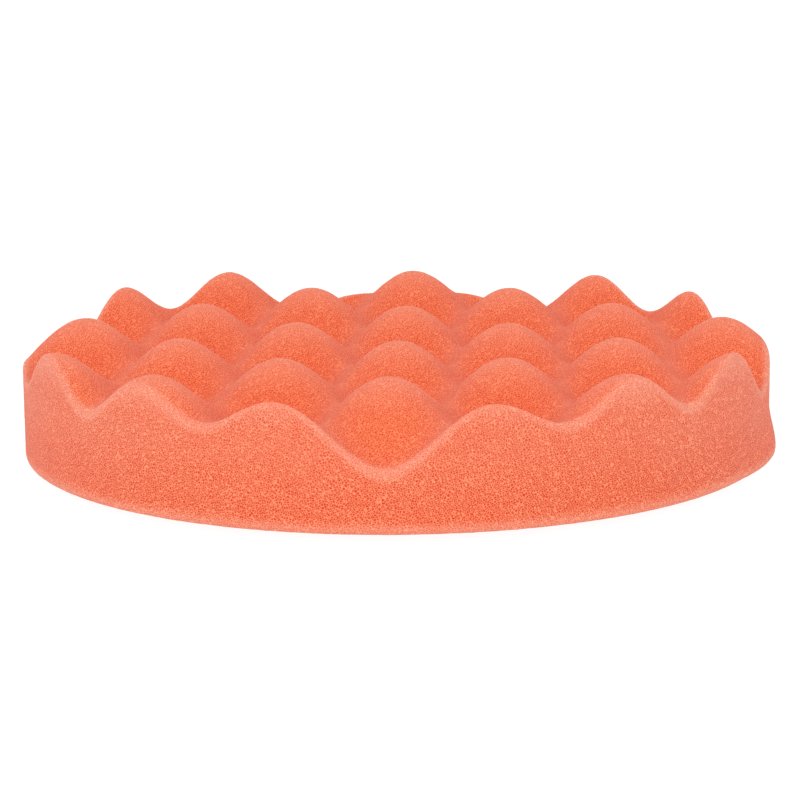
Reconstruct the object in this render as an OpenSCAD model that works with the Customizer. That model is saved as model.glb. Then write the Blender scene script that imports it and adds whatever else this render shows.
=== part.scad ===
// Foam polishing pad with a waffle working face and a hook-and-loop backing.
// Millimetres. The origin is the centre of the loop backing's underside, and +Z points at the work.

/* [Foam disc] */
// Diameter of the foam disc
pad_d = 180; // [120:1:230]
// Height of the crests above the foam's underside, at the middle of the pad
crest_h = 29.1; // [20:0.1:40]
// Height of the valley floors above the foam's underside, at the middle of the pad
valley_h = 11.8; // [6:0.1:16]
// How much higher the working face stands at the rim than at the middle
rim_rise = 1.9; // [0:0.1:5]

/* [Waffle pattern] */
// Distance between neighbouring columns of crests, which are staggered by one row
column_pitch = 25.8; // [18:0.1:40]
// Distance between neighbouring rows of crests
row_pitch = 24.1; // [18:0.1:40]
// Turn of the pattern about the pad's axis, in degrees
pattern_turn = -2.5; // [-45:0.1:45]
// Place of one crest left of (-) or right of (+) the pad's axis
crest_x = 0.5; // [-40:0.1:40]
// Place of the same crest in front of (-) or behind (+) the pad's axis
crest_y = -20; // [-40:0.1:40]
// Shape of the swell: below 1 gives round crests and narrow valleys, above 1 the opposite
crest_shape = 0.95; // [0.7:0.01:1.4]

/* [Backing] */
// How far the backing stays inside the foam's rim
backing_inset = 10; // [2:0.5:25]
// Thickness of the fabric's knitted ground
ground_t = 0.5; // [0.3:0.1:1]
// Height of the loop pile below the ground
pile_t = 0.9; // [0.4:0.1:2]
// Thickness of the glue film between the fabric and the foam
film_t = 0.2; // [0.1:0.05:0.5]
// How far the glue film stays inside the backing's edge
film_inset = 1; // [0.5:0.5:5]

/* [Smoothness] */
// Rings of triangles across the working face, from the middle to the rim
rings = 32; // [16:2:44]

/* [Hidden] */

pad_r = pad_d / 2;
backing_r = pad_r - backing_inset;
backing_t = ground_t + pile_t;
foam_z = backing_t + film_t;
sectors = 6;
rim_points = sectors * rings;
round_fn = 180;

// Height of the working face above the foam's underside, over a point of the pad
function face_h(x, y) =
    let (
        dx = x - crest_x,
        dy = y - crest_y,
        column = (cos(pattern_turn) * dx + sin(pattern_turn) * dy) / column_pitch,
        row = (cos(pattern_turn) * dy - sin(pattern_turn) * dx) / row_pitch,
        swell = (1 + cos(180 * column) * cos(180 * row)) / 2,
        rise = rim_rise * (x * x + y * y) / (pad_r * pad_r)
    )
    valley_h + (crest_h - valley_h) * pow(swell, crest_shape) + rise;

// Point i of ring k on the working face; ring k holds sectors * k points
function face_point(k, i) =
    let (
        r = pad_r * k / rings,
        turn = 360 * i / (sectors * k),
        x = r * cos(turn),
        y = r * sin(turn)
    )
    [x, y, foam_z + face_h(x, y)];

// Point i of the underside's edge
function foot_point(i) =
    let (turn = 360 * i / rim_points)
    [pad_r * cos(turn), pad_r * sin(turn), foam_z];

// Index of point i of ring k among the working face's points
function face_index(k, i) = k == 0 ? 0 : 1 + sectors * k * (k - 1) / 2 + i % (sectors * k);

// Foam: the working face is a net of rings, closed by the cut wall and the plane underside
module foam_disc() {
    middle = [[0, 0, foam_z + face_h(0, 0)]];
    face = [for (k = [1 : rings], i = [0 : sectors * k - 1]) face_point(k, i)];
    foot = [for (i = [0 : rim_points - 1]) foot_point(i)];
    first_foot = len(middle) + len(face);

    outward = [
        for (k = [1 : rings], s = [0 : sectors - 1], i = [0 : k - 1])
            [face_index(k - 1, s * (k - 1) + i), face_index(k, s * k + i + 1), face_index(k, s * k + i)]
    ];
    inward = [
        for (k = [2 : rings], s = [0 : sectors - 1], i = [0 : k - 2])
            [
                face_index(k - 1, s * (k - 1) + i + 1),
                face_index(k, s * k + i + 1),
                face_index(k - 1, s * (k - 1) + i)
            ]
    ];
    wall = [
        for (i = [0 : rim_points - 1])
            let (next = (i + 1) % rim_points)
            [face_index(rings, i), face_index(rings, next), first_foot + next, first_foot + i]
    ];
    underside = [[for (i = [0 : rim_points - 1]) first_foot + i]];

    color("coral")
        polyhedron(
            points = concat(middle, face, foot),
            faces = concat(outward, inward, wall, underside),
            convexity = 6
        );
}

// Glue film that laminates the loop fabric to the foam
module adhesive_film() {
    color("khaki")
        translate([0, 0, backing_t])
            cylinder(h = film_t, r = backing_r - film_inset, $fn = round_fn);
}

// Loop fabric: a knitted ground with its pile below, whose edge is rounded off
module loop_backing() {
    color("whitesmoke")
        rotate_extrude($fn = round_fn) {
            translate([0, pile_t])
                square([backing_r, ground_t]);
            square([backing_r - pile_t, backing_t]);
            translate([backing_r - pile_t, pile_t])
                intersection() {
                    circle(r = pile_t, $fn = 48);
                    translate([0, -pile_t])
                        square(pile_t);
                }
        }
}

foam_disc();
adhesive_film();
loop_backing();
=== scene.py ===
import math

import bpy
from mathutils import Matrix, Vector


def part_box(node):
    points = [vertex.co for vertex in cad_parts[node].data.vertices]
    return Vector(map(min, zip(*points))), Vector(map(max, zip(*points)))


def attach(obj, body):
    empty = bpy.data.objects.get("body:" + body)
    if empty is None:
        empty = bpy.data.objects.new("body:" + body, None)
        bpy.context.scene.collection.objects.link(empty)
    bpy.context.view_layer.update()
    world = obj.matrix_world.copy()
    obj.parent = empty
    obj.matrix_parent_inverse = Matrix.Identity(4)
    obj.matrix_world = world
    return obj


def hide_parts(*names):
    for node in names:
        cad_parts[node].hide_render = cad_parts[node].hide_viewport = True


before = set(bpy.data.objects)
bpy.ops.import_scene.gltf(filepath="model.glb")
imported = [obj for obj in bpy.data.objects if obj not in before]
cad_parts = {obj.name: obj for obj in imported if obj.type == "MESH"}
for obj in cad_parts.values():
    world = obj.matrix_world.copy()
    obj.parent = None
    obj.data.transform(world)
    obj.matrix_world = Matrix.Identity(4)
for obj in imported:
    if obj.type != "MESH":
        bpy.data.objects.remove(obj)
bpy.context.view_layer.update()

foamLow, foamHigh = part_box("foam_disc")
filmLow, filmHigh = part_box("adhesive_film")
backLow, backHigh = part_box("loop_backing")
foamRadius = (foamHigh[0] - foamLow[0]) / 2
filmRadius = (filmHigh[0] - filmLow[0]) / 2
backRadius = (backHigh[0] - backLow[0]) / 2
mm = 0.001


class Wire:
    # an output socket that adds Math nodes when it is used in an expression
    def __init__(self, bench, socket):
        self.bench = bench
        self.socket = socket

    def maths(self, operation, *others):
        return self.bench.maths(operation, self, *others)

    def output(self, name):
        return Wire(self.bench, self.socket.node.outputs[name])

    def __add__(self, other):
        return self.maths("ADD", other)

    def __sub__(self, other):
        return self.maths("SUBTRACT", other)

    def __rsub__(self, other):
        return self.bench.maths("SUBTRACT", other, self)

    def __mul__(self, other):
        return self.maths("MULTIPLY", other)

    def __truediv__(self, other):
        return self.maths("DIVIDE", other)

    def __pow__(self, other):
        return self.maths("POWER", other)

    __radd__ = __add__
    __rmul__ = __mul__


class Bench:
    # a node tree to which every node is added in the same way
    def __init__(self, tree):
        self.tree = tree

    def add(self, kind, settings=None, values=(), output=0):
        node = self.tree.nodes.new(kind)
        node.location = (190 * len(self.tree.nodes), 0)
        for name, value in (settings or {}).items():
            setattr(node, name, value)
        pairs = values.items() if isinstance(values, dict) else enumerate(values)
        for key, value in pairs:
            if isinstance(value, Wire):
                self.tree.links.new(value.socket, node.inputs[key])
            else:
                node.inputs[key].default_value = value
        return Wire(self, node.outputs[output]) if node.outputs else node

    def maths(self, operation, *terms):
        return self.add("ShaderNodeMath", {"operation": operation}, terms)

    # 0 below low, 1 above high, and a smooth step between
    def step(self, value, low, high):
        settings = {"interpolation_type": "SMOOTHSTEP"}
        values = {"Value": value, "From Min": low, "From Max": high}
        return self.add("ShaderNodeMapRange", settings, values)

    def blend(self, share, colourA, colourB):
        settings = {"data_type": "RGBA", "clamp_factor": True}
        return self.add("ShaderNodeMix", settings, {0: share, 6: colourA, 7: colourB}, 2)

    # the place on the piece, and noise over it whose clouds are about size across
    def place(self):
        return self.add("ShaderNodeTexCoord").output("Object")

    def noise(self, place, size, detail):
        values = {"Vector": place, "Scale": 1 / size, "Detail": detail}
        return self.add("ShaderNodeTexNoise", None, values)

    # noise in a Geometry Nodes tree, with a seed
    def seededNoise(self, seed, size, detail):
        values = {"W": seed, "Scale": 1 / size, "Detail": detail}
        return self.add("ShaderNodeTexNoise", {"noise_dimensions": "4D"}, values)

    def vector(self, operation, values):
        return self.add("ShaderNodeVectorMath", {"operation": operation}, values)

    def bump(self, strength, distance, height):
        values = {"Strength": strength, "Distance": distance, "Height": height}
        return self.add("ShaderNodeBump", None, values)


def newTree(name, sizes):
    tree = bpy.data.node_groups.new(name, "GeometryNodeTree")
    tree.interface.new_socket("Mesh", in_out="OUTPUT", socket_type="NodeSocketGeometry")
    tree.interface.new_socket("Mesh", in_out="INPUT", socket_type="NodeSocketGeometry")
    for label, value in sizes.items():
        if isinstance(value, bpy.types.Material):
            kind = "NodeSocketMaterial"
        elif isinstance(value, int):
            kind = "NodeSocketInt"
        else:
            kind = "NodeSocketFloat"
        tree.interface.new_socket(label, in_out="INPUT", socket_type=kind)
    bench = Bench(tree)
    entry = bench.add("NodeGroupInput")
    return bench, {label: entry.output(label) for label in ["Mesh", *sizes]}


# ends a tree in Realize Instances and Set Material
def closeTree(bench, mesh, material):
    real = bench.add("GeometryNodeRealizeInstances", None, {"Geometry": mesh})
    done = bench.add("GeometryNodeSetMaterial", None, {"Geometry": real, "Material": material})
    bench.add("NodeGroupOutput", None, {0: done})


# runs a tree on a piece and keeps the result as the piece's plain mesh
def runTree(piece, bench, sizes):
    modifier = piece.modifiers.new(bench.tree.name, "NODES")
    modifier.node_group = bench.tree
    for item in bench.tree.interface.items_tree:
        if item.in_out == "INPUT" and item.name in sizes:
            modifier[item.identifier] = sizes[item.name]
    piece.update_tag()
    graph = bpy.context.evaluated_depsgraph_get()
    grown = bpy.data.meshes.new_from_object(piece.evaluated_get(graph))
    start = piece.data
    piece.modifiers.clear()
    piece.data = grown
    bpy.data.meshes.remove(start)
    grown.name = piece.name


def newPiece(name, points, faces):
    mesh = bpy.data.meshes.new(name)
    mesh.from_pydata(points, [], faces)
    mesh.validate()
    piece = bpy.data.objects.new(name, mesh)
    bpy.context.scene.collection.objects.link(piece)
    return piece


def newMaterial(name):
    material = bpy.data.materials.new(name)
    material.use_nodes = True
    material.node_tree.nodes.clear()
    return material, Bench(material.node_tree)


# ends a material in a Principled shader
def closeMaterial(bench, values):
    shader = bench.add("ShaderNodeBsdfPrincipled", None, values)
    bench.add("ShaderNodeOutputMaterial", None, {"Surface": shader})


foamLook = {
    "body": (0.98, 0.27, 0.132, 1),
    "pale": (0.97, 0.30, 0.154, 1),
    "face": (1.0, 0.25, 0.106, 1),
    # the pale colour of the cut edges, used also as painted light: the wall paler towards its top, a
    # painted highlight on the crests, a paler foot
    "edge": (0.93, 0.455, 0.335, 1),
    "pore": (0.62, 0.036, 0.008, 1),
    "poreSpacing": 0.5 * mm,
    "poreTurn": (-0.283, 0.384, 0.5),  # lines the cells up with no wall of the pad
    "poreRandomness": 0.83,
    "poreDrift": 0.8 * mm,  # how far the cells wander, over driftSize
    "driftSize": 3 * mm,
    "poreEdge": 0.20,  # how wide a strut fades into its pore, as a share of the spacing
    "poreToneSpread": 0.2,
    "faceShare": 0.8,  # how much of the face's own colour the waffle face takes
    "faceCalm": 0.1,  # how much fainter the cells are on the waffle face than on the cut wall
    "edgeCalm": 0.8,  # and how much fainter where the foam is pale, at the cut edges and where light is painted
    "cloudSize": 14 * mm,
    "fineSize": 0.45 * mm,
    "fineHeight": 0.35,  # against a pore's depth of 1
    "bumpStrength": 0.45,
    "bumpDistance": 0.35 * mm,
    "roughness": 0.95,
    "specular": 0.15,
    "sheen": 0.14,
    "sheenRoughness": 0.45,
    "sheenTint": (0.95, 0.92, 1, 1),
}


def openCellFoam():
    look = foamLook
    material, bench = newMaterial("openCellFoam")
    place = bench.place()
    # open cells: a dark pore each, in a pale net of struts
    turned = bench.add("ShaderNodeMapping", None, {"Vector": place, "Rotation": look["poreTurn"]})
    drift = bench.noise(place, look["driftSize"], 0.0)
    bent = bench.vector("SCALE", {0: drift.output("Color"), "Scale": look["poreDrift"]})
    spot = bench.vector("ADD", [turned, bent])
    grid = {"Vector": spot, "Scale": 1 / look["poreSpacing"], "Randomness": look["poreRandomness"]}
    strut = bench.add("ShaderNodeTexVoronoi", {"feature": "DISTANCE_TO_EDGE"}, grid)
    cell = bench.add("ShaderNodeTexVoronoi", {"feature": "F1"}, grid)
    tone = bench.add("ShaderNodeSeparateColor", None, {"Color": cell.output("Color")})
    spread = look["poreToneSpread"]
    deep = bench.step(strut, 0.0, look["poreEdge"]) * (1 - spread + tone * spread)
    # weak, broad clouds in the dye
    cloud = bench.step(bench.noise(place, look["cloudSize"], 3.0), 0.35, 0.75)
    body = bench.blend(cloud, look["body"], look["pale"])
    onFace = bench.add("ShaderNodeAttribute", {"attribute_name": "onFace"}).output("Fac")
    # this mask holds the pale cut edges and painted light: the wall lighter towards its top, painted
    # highlights on the crests, a foot band partly lit by the floor
    edge = bench.add("ShaderNodeAttribute", {"attribute_name": "paleEdgeAndPaintedLight"}).output("Fac")
    skin = bench.blend(onFace * look["faceShare"], body, look["face"])
    rim = bench.blend(edge, skin, look["edge"])
    openness = deep * (1 - edge * look["edgeCalm"]) * (1 - onFace * look["faceCalm"])
    colour = bench.blend(openness, rim, look["pore"])
    fine = bench.noise(place, look["fineSize"], 2.0)
    height = fine * look["fineHeight"] - deep
    closeMaterial(bench, {
        "Base Color": colour,
        "Roughness": look["roughness"],
        "Specular IOR Level": look["specular"],
        "Sheen Weight": look["sheen"],
        "Sheen Roughness": look["sheenRoughness"],
        "Sheen Tint": look["sheenTint"],
        "Normal": bench.bump(look["bumpStrength"], look["bumpDistance"], height),
    })
    return material


fabricLook = {
    "yarn": (0.80, 0.79, 0.76, 1),
    "shade": (0.60, 0.59, 0.56, 1),
    "wale": 1.3 * mm,  # stitches side by side
    "course": 0.9 * mm,  # and row on row
    "sheen": 0.3,
    "stitchBump": 0.6,
    "stitchHeight": 0.15 * mm,
}
glueLook = {
    "dark": (0.62, 0.54, 0.38, 1),
    "light": (0.80, 0.75, 0.62, 1),
    "streak": 3 * mm,
}


def knittedGround():
    look = fabricLook
    material, bench = newMaterial("knittedGround")
    place = bench.place()
    x = bench.add("ShaderNodeSeparateXYZ", None, [place])
    y = x.output("Y")
    across = (x * (2 * math.pi / look["wale"])).maths("SINE")
    along = (y * (2 * math.pi / look["course"]) + across * 0.9).maths("SINE")
    stitch = (along * 0.35 + across * 0.65) * 0.5 + 0.5
    mottle = bench.noise(place, 5 * mm, 2.0)
    closeMaterial(bench, {
        "Base Color": bench.blend(stitch * 0.6 + mottle * 0.4, look["shade"], look["yarn"]),
        "Roughness": 0.85,
        "Sheen Weight": look["sheen"],
        "Normal": bench.bump(look["stitchBump"], look["stitchHeight"], stitch),
    })
    return material


def loopYarn():
    look = fabricLook
    material, bench = newMaterial("loopYarn")
    mottle = bench.step(bench.noise(bench.place(), 2 * mm, 2.0), 0.3, 0.7)
    colour = bench.blend(mottle, look["shade"], look["yarn"])
    closeMaterial(bench, {"Base Color": colour, "Roughness": 0.7, "Sheen Weight": look["sheen"]})
    return material


def hotMeltGlue():
    material, bench = newMaterial("hotMeltGlue")
    streak = bench.noise(bench.place(), glueLook["streak"], 3.0)
    colour = bench.blend(streak, glueLook["dark"], glueLook["light"])
    closeMaterial(bench, {"Base Color": colour, "Roughness": 0.3 + streak * 0.25})
    return material


waffle = {
    "Radius": foamRadius,
    "Underside": foamLow[2],
    "Crest": 29.1 * mm,  # above the underside, at the middle
    "Valley": 11.8 * mm,
    "Rim rise": 1.9 * mm,
    "Column pitch": 25.8 * mm,
    "Row pitch": 24.1 * mm,
    "Turn": math.radians(-2.5),
    "Crest X": 0.5 * mm,
    "Crest Y": -20 * mm,
    "Crest shape": 0.95,
    "Crest round": 1.1 * mm,
    "Foot round": 1.5 * mm,
    "Grain": 0.10 * mm,
    "Unevenness": 0.35 * mm,
    "Flare": 1.8 * mm,  # the foot stands out on the pad's right
    "Seed": 3,
}
# pale cut edges and painted light on the foam: painted light up the wall and on the crests, and pale
# bands at both cut edges that are partly painted light
edgeAndLightPaleness = {
    "band": (2.0 * mm, 0.6 * mm),  # from this far inside the rim to this far, the face turns wall
    "low": (4 * mm, 20 * mm, 0.16),  # painted light: the wall pales from the first height to the second, lighter towards its top as light falls from above
    # more painted light near the top of the wall
    "high": (22 * mm, 30 * mm, 0.32),
    "lip": (-0.5 * mm, 2.8 * mm, 0.5),  # below the face's edge: a pale band, partly the fuzzy cut edge and partly painted light
    "foot": (-1.4 * mm, 2.2 * mm, 0.6),  # above the foot: a pale band, partly the fuzzy cut edge and partly painted light from the floor's bounce
    "crest": (0.5, 1.0, 0.26),  # share of the swell: a painted highlight on the crests, as light falls from above
}
blank = {
    "rings": 118,
    "wallRows": 30,
    "footRows": 8,
    "capRadius": 0.84,  # share of the radius where the underside's fine rows end
    "crestRound": waffle["Crest round"],
    "footRound": waffle["Foot round"],
    "roundRows": 4,
}


# rows of the closed blank, from the middle of the face out, over the wall and in under the foot:
# radius, share of the wall's height, and rise above (or below) that share
def blankRows():
    crest, foot, turns = blank["crestRound"], blank["footRound"], blank["roundRows"]
    bends = [math.pi / 2 * k / turns for k in range(1, turns + 1)]
    flat = foamRadius - crest
    under = foamRadius - foot
    rows = [(flat * k / blank["rings"], 1.0, crest) for k in range(1, blank["rings"] + 1)]
    rows += [(flat + crest * math.sin(bend), 1.0, crest * math.cos(bend)) for bend in bends]
    rows += [(foamRadius, 1 - k / blank["wallRows"], 0.0) for k in range(1, blank["wallRows"] + 1)]
    rows += [(under + foot * math.cos(bend), 0.0, -foot * math.sin(bend)) for bend in bends]
    cap = foamRadius * blank["capRadius"]
    inward = (cap - under) / blank["footRows"]
    rows += [(under + inward * k, 0.0, -foot) for k in range(1, blank["footRows"] + 1)]
    return rows


def foamBlank():
    rows = blankRows()
    fine = 6 * blank["rings"]
    points, shares, rises, starts, counts = [(0, 0, 0)], [1.0], [blank["crestRound"]], [0], [1]
    for k, (radius, share, rise) in enumerate(rows, 1):
        count = min(6 * k, fine)
        starts.append(len(points))
        counts.append(count)
        for i in range(count):
            turn = 2 * math.pi * i / count
            points.append((radius * math.cos(turn), radius * math.sin(turn), 0))
            shares.append(share)
            rises.append(rise)
    faces = []
    for k in range(1, len(counts)):
        inner, outer = counts[k - 1], counts[k]
        a, b = starts[k - 1], starts[k]
        if inner == outer:
            for i in range(outer):
                j = (i + 1) % outer
                faces.append((a + i, b + i, b + j, a + j))
            continue
        for s in range(6):
            for i in range(k):
                p, q = s * (k - 1) + i, s * k + i
                faces.append((a + p % inner, b + q, b + (q + 1) % outer))
                if i < k - 1:
                    faces.append((a + p, b + q + 1, a + (p + 1) % inner))
    faces.append(tuple(starts[-1] + i for i in reversed(range(counts[-1]))))  # faces down
    piece = newPiece("waffle_foam", points, faces)
    for label, values in (("share", shares), ("rise", rises)):
        layer = piece.data.attributes.new(label, "FLOAT", "POINT")
        layer.data.foreach_set("value", values)
    return piece


def waffleTree(sizes):
    bench, entry = newTree("waffleFoam", sizes)
    read = {"data_type": "FLOAT"}
    share = bench.add("GeometryNodeInputNamedAttribute", read, {"Name": "share"})
    rise = bench.add("GeometryNodeInputNamedAttribute", read, {"Name": "rise"})
    spot = bench.add("GeometryNodeInputPosition")
    x = bench.add("ShaderNodeSeparateXYZ", None, [spot])
    y = x.output("Y")
    # the swell: rows and columns of crests on a staggered grid
    dx = x - entry["Crest X"]
    dy = y - entry["Crest Y"]
    cosine, sine = entry["Turn"].maths("COSINE"), entry["Turn"].maths("SINE")
    column = (cosine * dx + sine * dy) / entry["Column pitch"] * math.pi
    row = (cosine * dy - sine * dx) / entry["Row pitch"] * math.pi
    swell = (1 + column.maths("COSINE") * row.maths("COSINE")) / 2
    reach = (x * x + y * y) / (entry["Radius"] * entry["Radius"])
    face = entry["Valley"] + (entry["Crest"] - entry["Valley"]) * swell ** entry["Crest shape"]
    face = face + entry["Rim rise"] * reach
    # broad unevenness of the cut
    wave = bench.seededNoise(entry["Seed"], 26 * mm, 1.0)
    face = face + (wave - 0.5) * entry["Unevenness"] * 2
    # the wall runs from just under the face's rounded edge down to the rounded foot
    wall = face - entry["Crest round"] - entry["Foot round"]
    z = entry["Underside"] + entry["Foot round"] + wall * share + rise
    height = z - entry["Underside"]
    # the foot stands out towards +X
    flare = bench.step(x / entry["Radius"], 0.86, 1.0) * (1 - bench.step(height, 1 * mm, 12 * mm))
    flare = flare * (1 - bench.step(share, 0.75, 1.0))
    wide = 1 + flare * entry["Flare"] / entry["Radius"]
    moved = bench.add("ShaderNodeCombineXYZ", None, [x * wide, y * wide, z])
    shaped = bench.add("GeometryNodeSetPosition", None, {"Geometry": entry["Mesh"], "Position": moved})
    # fine grain of the open cells
    normal = bench.add("GeometryNodeInputNormal")
    grain = bench.seededNoise(entry["Seed"], 1.8 * mm, 2.0)
    push = bench.vector("SCALE", {0: normal, "Scale": (grain - 0.5) * entry["Grain"] * 2})
    grained = bench.add("GeometryNodeSetPosition", None, {"Geometry": shaped, "Offset": push})
    # paleness: along both cut edges, partly the fuzzy cut foam and partly painted light; painted light
    # up the wall, lighter towards its top; and a painted highlight on the crests

    def rising(value, name):
        low, high, most = edgeAndLightPaleness[name]
        return bench.step(value, low, high) * most

    def falling(value, name):
        low, high, most = edgeAndLightPaleness[name]
        return (1 - bench.step(value, low, high)) * most

    radius = (x * x + y * y) ** 0.5
    outer, inner = edgeAndLightPaleness["band"]
    onWall = bench.step(radius, entry["Radius"] - outer, entry["Radius"] - inner)
    onFace = (1 - onWall) * share
    # painted light: the wall lighter towards its top, as lit from above
    paintedLightUpWall = rising(height, "low") + rising(height, "high")
    atEdges = falling(wall * (1 - share), "lip").maths("MAXIMUM", falling(wall * share, "foot"))
    # the pale mask: painted light up the wall and a painted highlight on the crests, with edge bands
    # partly fuzzy cut foam and partly painted light
    pale = onWall * paintedLightUpWall.maths("MAXIMUM", atEdges) + onFace * rising(swell, "crest")
    marked = grained
    for name, value in (("paleEdgeAndPaintedLight", pale), ("onFace", onFace)):
        marked = bench.add("GeometryNodeStoreNamedAttribute", {"data_type": "FLOAT", "domain": "POINT"},
                           {"Geometry": marked, "Name": name, "Value": value})
    smooth = bench.add("GeometryNodeSetShadeSmooth", None, {"Geometry": marked})
    closeTree(bench, smooth, entry["Material"])
    return bench


def makeFoam():
    piece = foamBlank()
    sizes = {**waffle, "Material": openCellFoam()}
    runTree(piece, waffleTree(sizes), sizes)
    for label in ("share", "rise"):
        layer = piece.data.attributes.get(label)
        if layer:
            piece.data.attributes.remove(layer)
    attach(piece, "root")
    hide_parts("foam_disc")
    return piece


ground = {
    "thickness": 0.5 * mm,
    "rings": 40,
    "wobble": 0.15 * mm,  # unevenness of the die-cut edge
}
film = {
    "edge": 0.5 * mm,  # how far the glue's edge wanders
    "waves": 17,
}
pile = {
    "Spacing": 1.22 * mm,
    "Width": 1.5 * mm,
    "Depth": 0.78 * mm,
    "Yarn": 0.12 * mm,
    "Lean": 0.45,  # the loops lie over to one side
    "Seed": 11,
}
wander = {
    "turn": (0.25, 0.15, 0.7),  # how far a loop may turn either way about X, Y and Z
    "smallest": 0.8,
    "edgeGap": 0.7,  # from the fabric's edge to the outermost loops, in loop widths
}


# a closed flat disc whose edge radius varies with the angle
def discMesh(name, radiusAt, low, high, rings, count):
    points, faces = [], []
    for z in (high, low):
        points.append((0, 0, z))
        for k in range(1, rings + 1):
            for i in range(count):
                turn = 2 * math.pi * i / count
                r = radiusAt(turn) * k / rings
                points.append((r * math.cos(turn), r * math.sin(turn), z))
    layer = 1 + rings * count
    for side, first in enumerate((0, layer)):
        for i in range(count):
            j = (i + 1) % count
            ring = [(first, first + 1 + i, first + 1 + j)]
            for k in range(rings - 1):
                a, b = first + 1 + k * count, first + 1 + (k + 1) * count
                ring.append((a + i, b + i, b + j, a + j))
            faces += [face[::-1] if side else face for face in ring]
    rim = 1 + (rings - 1) * count
    for i in range(count):
        j = (i + 1) % count
        faces.append((rim + i, layer + rim + i, layer + rim + j, rim + j))
    return newPiece(name, points, faces)


def makeFilm():
    def radiusAt(turn):
        return filmRadius + film["edge"] * math.sin(film["waves"] * turn) * math.sin(5 * turn + 1)
    piece = discMesh("glue_film", radiusAt, filmLow[2], filmHigh[2], 12, 240)
    piece.data.materials.append(hotMeltGlue())
    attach(piece, "root")
    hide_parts("adhesive_film")
    return piece


def pileTree(sizes):
    bench, entry = newTree("loopPile", sizes)
    spots = bench.add("GeometryNodeDistributePointsOnFaces", {"distribute_method": "POISSON"},
                      {"Mesh": entry["Mesh"], "Distance Min": entry["Spacing"], "Density Max": 1e6,
                       "Seed": entry["Seed"]})
    half = entry["Width"] / 2
    drop = entry["Depth"] * (-4 / 3)  # a Bezier segment sags to 3/4 of its handles
    start = bench.add("ShaderNodeCombineXYZ", None, [half * -1])
    end = bench.add("ShaderNodeCombineXYZ", None, [half])
    handleA = bench.add("ShaderNodeCombineXYZ", None, [half * -1.3, half * 0.5, drop])
    handleB = bench.add("ShaderNodeCombineXYZ", None, [half * 1.3, half * -0.5, drop])
    arch = bench.add("GeometryNodeCurvePrimitiveBezierSegment", {"mode": "POSITION"},
                     {"Resolution": 5, "Start": start, "Start Handle": handleA,
                      "End Handle": handleB, "End": end})
    section = bench.add("GeometryNodeCurvePrimitiveCircle", {"mode": "RADIUS"},
                        {"Resolution": 3, "Radius": entry["Yarn"]})
    loop = bench.add("GeometryNodeCurveToMesh", None,
                     {"Curve": arch, "Profile Curve": section, "Fill Caps": True})
    most = Vector(wander["turn"])
    wobble = bench.add("FunctionNodeRandomValue", {"data_type": "FLOAT_VECTOR"},
                       {0: -most, 1: most, "Seed": entry["Seed"]})
    lean = bench.add("ShaderNodeCombineXYZ", None, [entry["Lean"]])
    turn = bench.vector("ADD", [wobble, lean])
    size = bench.add("FunctionNodeRandomValue", {"data_type": "FLOAT"},
                     {2: wander["smallest"], 3: 1.0, "Seed": entry["Seed"]}, 1)
    loops = bench.add("GeometryNodeInstanceOnPoints", None,
                      {"Points": spots, "Instance": loop, "Rotation": turn, "Scale": size})
    real = bench.add("GeometryNodeRealizeInstances", None, {"Geometry": loops})
    smooth = bench.add("GeometryNodeSetShadeSmooth", None, {"Geometry": real})
    closeTree(bench, smooth, entry["Material"])
    return bench


def makeBacking():
    def radiusAt(turn):
        return backRadius + ground["wobble"] * (math.sin(31 * turn) * math.sin(7 * turn) - 1)
    low = backHigh[2] - ground["thickness"]
    piece = discMesh("loop_ground", radiusAt, low, backHigh[2], ground["rings"], 360)
    piece.data.materials.append(knittedGround())
    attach(piece, "root")
    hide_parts("loop_backing")

    count = 180
    edge = backRadius - pile["Width"] * wander["edgeGap"]
    turns = [2 * math.pi * i / count for i in range(count)]
    rim = [(edge * math.cos(turn), edge * math.sin(turn), low) for turn in turns]
    loops = newPiece("loop_pile", rim, [tuple(range(count))])
    sizes = {**pile, "Material": loopYarn()}
    runTree(loops, pileTree(sizes), sizes)
    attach(loops, "root")
    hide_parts("loop_backing")
    return piece, loops


studio = {
    "lens": 121.7,
    "distance": 0.6596,
    "elevation": 0.2047,
    "roll": -0.0081,
    "aimX": 0.8 * mm,
    "aimZ": 10.9 * mm,  # above the foam's underside
    "horizon": (0.92, 0.92, 0.92, 1),
    "overhead": (1.04, 1.04, 1.04, 1),
    "floorShade": (0.12, 0.12, 0.12, 1),
    "floorGlow": 0.93,
    "floorRadius": 3.0,
    "coveRadius": 1.0,
    "lampPlace": (-0.12, -0.88, 0.55),
    "lampSize": 0.7,
    "lampPower": 2.6,
}


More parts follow.
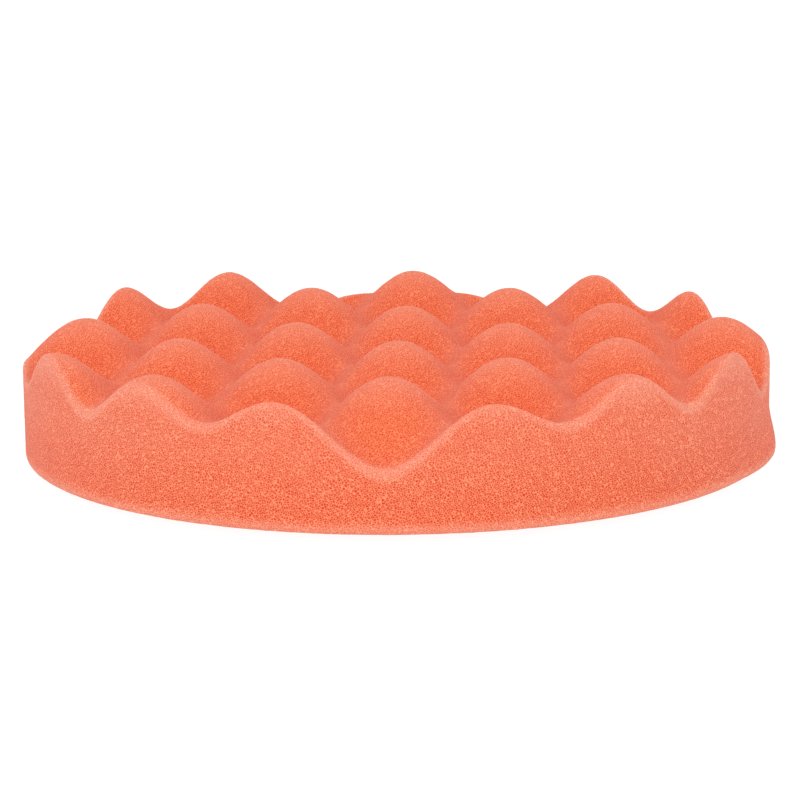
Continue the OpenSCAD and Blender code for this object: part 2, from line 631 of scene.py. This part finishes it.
def makeCamera():
    e, roll = studio["elevation"], studio["roll"]
    back = Vector((0, -math.cos(e), math.sin(e)))
    up = Vector((0, math.sin(e), math.cos(e)))
    right = Vector((1, 0, 0))
    tilted = right * math.cos(roll) + up * math.sin(roll)
    upright = up * math.cos(roll) - right * math.sin(roll)
    aim = Vector((studio["aimX"], 0, foamLow[2] + studio["aimZ"]))
    camera = bpy.data.objects.new("camera", bpy.data.cameras.new("camera"))
    camera.data.sensor_width = 36
    camera.data.lens = studio["lens"]
    turn = Matrix((tilted, upright, back)).transposed()
    camera.matrix_world = Matrix.Translation(aim + back * studio["distance"]) @ turn.to_4x4()
    bpy.context.scene.collection.objects.link(camera)
    bpy.context.scene.camera = camera


# a soft lamp in front, turned to the pad
def makeLamp():
    light = bpy.data.lights.new("softFront", "AREA")
    light.shape = "DISK"
    light.size = studio["lampSize"]
    light.energy = studio["lampPower"]
    lamp = bpy.data.objects.new("softFront", light)
    lamp.location = studio["lampPlace"]
    lamp.rotation_euler = Vector(studio["lampPlace"]).to_track_quat("Z", "Y").to_euler()
    bpy.context.scene.collection.objects.link(lamp)


# a round floor whose edge turns up into a cove
def makeFloor():
    count, bends, cove = 96, 12, studio["coveRadius"]
    turns = [2 * math.pi * i / count for i in range(count)]
    points, faces = [], [tuple(range(count))]
    for k in range(bends + 1):
        bend = math.pi / 2 * k / bends
        radius = studio["floorRadius"] + cove * math.sin(bend)
        z = cove * (1 - math.cos(bend))
        points += [(radius * math.cos(turn), radius * math.sin(turn), z) for turn in turns]
    for k in range(bends):
        a, b = k * count, (k + 1) * count
        faces += [(a + i, b + i, b + (i + 1) % count, a + (i + 1) % count) for i in range(count)]
    floor = newPiece("studio_floor", points, faces)
    floor.data.shade_smooth()
    return floor


def makeStudio():
    world = bpy.data.worlds.new("studio")
    bpy.context.scene.world = world
    world.use_nodes = True
    world.node_tree.nodes.clear()
    sky = Bench(world.node_tree)
    direction = sky.add("ShaderNodeTexCoord").output("Generated")
    height = sky.add("ShaderNodeSeparateXYZ", None, [direction]).output("Z")
    tone = sky.blend(sky.step(height, 0.15, 0.75), studio["horizon"], studio["overhead"])
    background = sky.add("ShaderNodeBackground", None, [tone])
    sky.add("ShaderNodeOutputWorld", None, [background])
    floor = makeFloor()
    material, bench = newMaterial("paleFloor")
    closeMaterial(bench, {"Base Color": studio["floorShade"], "Roughness": 0.9,
                          "Emission Color": (1, 1, 1, 1), "Emission Strength": studio["floorGlow"]})
    floor.data.materials.append(material)
    makeLamp()
    bpy.context.scene.view_settings.view_transform = "Standard"


makeCamera()
print("camera set")
makeFoam()
print("foam made")
makeFilm()
makeBacking()
print("backing made")
makeStudio()
print("studio made")
